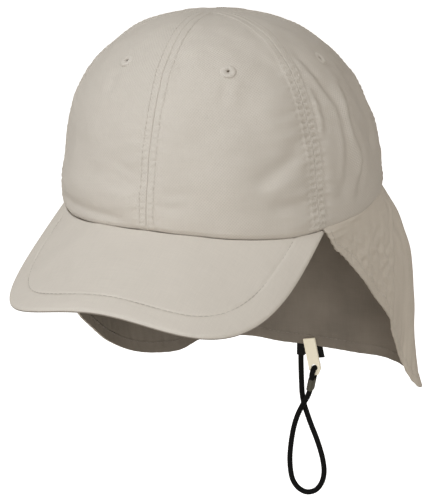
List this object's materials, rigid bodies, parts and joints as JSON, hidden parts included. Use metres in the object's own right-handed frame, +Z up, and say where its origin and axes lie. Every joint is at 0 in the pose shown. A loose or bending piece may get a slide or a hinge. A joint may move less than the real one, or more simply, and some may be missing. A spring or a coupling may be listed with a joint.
{
  "type": "legionnaire cap with clip leash",
  "caption": "Soft sun cap with a six-panel crown, a curved stiff brim, a long neck flap hanging behind it, and a cord leash whose hinged clip holds the flap's hem.",
  "frame": {"origin": "middle of the head opening, level with the rim at the sides and back", "axes": "+Z up through the crown, -Y forward over the brim, +X to the wearer's left"},
  "size_m": [0.1765, 0.2767, 0.3443],
  "materials": {
    "cap_cloth": "matt stone-coloured dobby weave",
    "brim_cloth": "matt stone-coloured plain weave over a stiff board",
    "flap_cloth": "matt stone-coloured light weave",
    "clip_plastic": "smooth cream moulding",
    "pin_steel": "bright wire",
    "black_webbing": "ribbed narrow webbing",
    "black_cord": "round braided cord",
    "crimp_sleeve": "satin olive sleeve"
  },
  "bodies": {
    "cap": {"crown_front_left": "cap_cloth", "crown_side_left": "cap_cloth", "crown_back_left": "cap_cloth", "crown_back_right": "cap_cloth", "crown_side_right": "cap_cloth", "crown_front_right": "cap_cloth", "brim": "brim_cloth", "neck_flap": "flap_cloth", "clip_front": "clip_plastic", "clip_pin": "pin_steel", "hem_tab": "black_webbing", "cord_anchor": "black_webbing", "leash_cord": "black_cord", "leash_eye": "black_cord", "cord_crimp": "crimp_sleeve"},
    "clip_jaw": {"clip_lever": "clip_plastic"}
  },
  "joints": [
    {"name": "clip_hinge", "type": "hinge", "parent": "cap", "child": "clip_jaw", "pos_m": [0.01061, 0.12508, -0.14563], "axis": [-0.9744, 0, -0.225], "range_deg": [0, 10], "stiffness_Nm_per_rad": 0.02, "springref_deg": -11.46}
  ]
}
